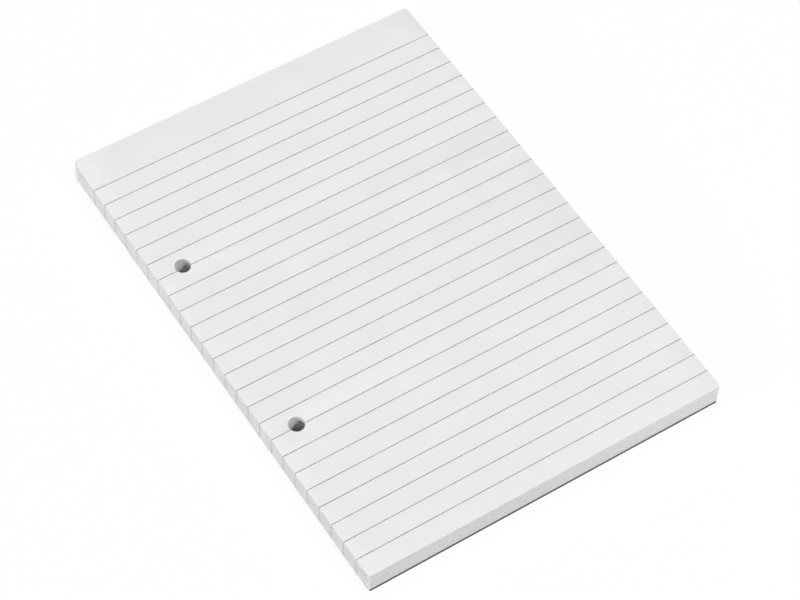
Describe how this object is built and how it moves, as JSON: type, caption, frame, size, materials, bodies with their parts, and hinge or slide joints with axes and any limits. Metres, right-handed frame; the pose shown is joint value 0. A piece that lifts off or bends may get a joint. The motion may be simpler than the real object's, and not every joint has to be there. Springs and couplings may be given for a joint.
{
  "type": "writing pad",
  "caption": "Flat ruled writing pad: a thick block of paper sheets glued along its head edge on a grey back board, with a row of round binder holes along its left side.",
  "frame": {"origin": "middle of the face that rests on the table, on the underside of the back board", "axes": "+X across the page to the right, along the ruled lines; +Y up the page to the glued head; +Z out of the top sheet"},
  "size_m": [0.1486, 0.2083, 0.0106],
  "materials": {
    "ruled_paper": "matte",
    "grey_board": "matte",
    "padding_glue": "satin"
  },
  "bodies": {
    "root": {"sheet_block": "ruled_paper", "back_board": "grey_board", "head_glue": "padding_glue"}
  },
  "joints": []
}
